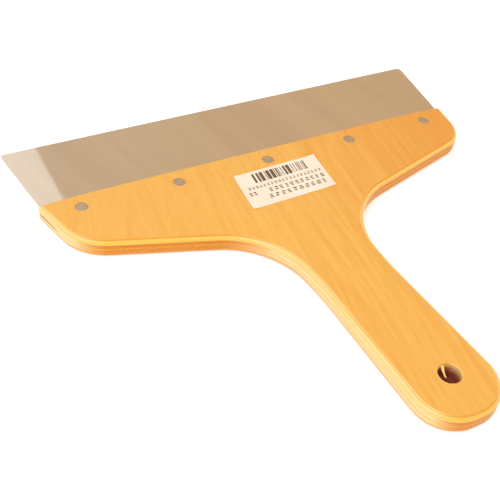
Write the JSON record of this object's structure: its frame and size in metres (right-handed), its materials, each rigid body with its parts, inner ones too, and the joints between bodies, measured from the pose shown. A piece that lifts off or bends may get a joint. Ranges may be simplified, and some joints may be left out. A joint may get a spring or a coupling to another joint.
{
  "type": "wide scraping knife",
  "caption": "Wide flat scraper: flared thin steel blade held in a kerf across the head of a T-shaped plywood handle by flush rivets, with a paper label and a hanging hole in the grip's end.",
  "frame": {"origin": "middle of the knife in plan, on the lower face that it lies on", "axes": "+X across the blade, +Y from the grip to the working edge, +Z out of the labelled face"},
  "size_m": [0.24, 0.224, 0.0095],
  "materials": {
    "long_grain_veneer": "clear gloss lacquer over tawny veneer",
    "cross_grain_veneer": "clear gloss lacquer over pale veneer",
    "blade_steel": "ground and polished stainless sheet",
    "rivet_metal": "dull, filed flush",
    "label_paper": "matt printed paper"
  },
  "bodies": {
    "root": {"ply_1": "long_grain_veneer", "ply_2": "cross_grain_veneer", "ply_3": "long_grain_veneer", "ply_4": "cross_grain_veneer", "ply_5": "long_grain_veneer", "ply_6": "cross_grain_veneer", "ply_7": "long_grain_veneer", "blade": "blade_steel", "rivet_1": "rivet_metal", "rivet_2": "rivet_metal", "rivet_3": "rivet_metal", "rivet_4": "rivet_metal", "rivet_5": "rivet_metal", "label": "label_paper"}
  },
  "joints": []
}
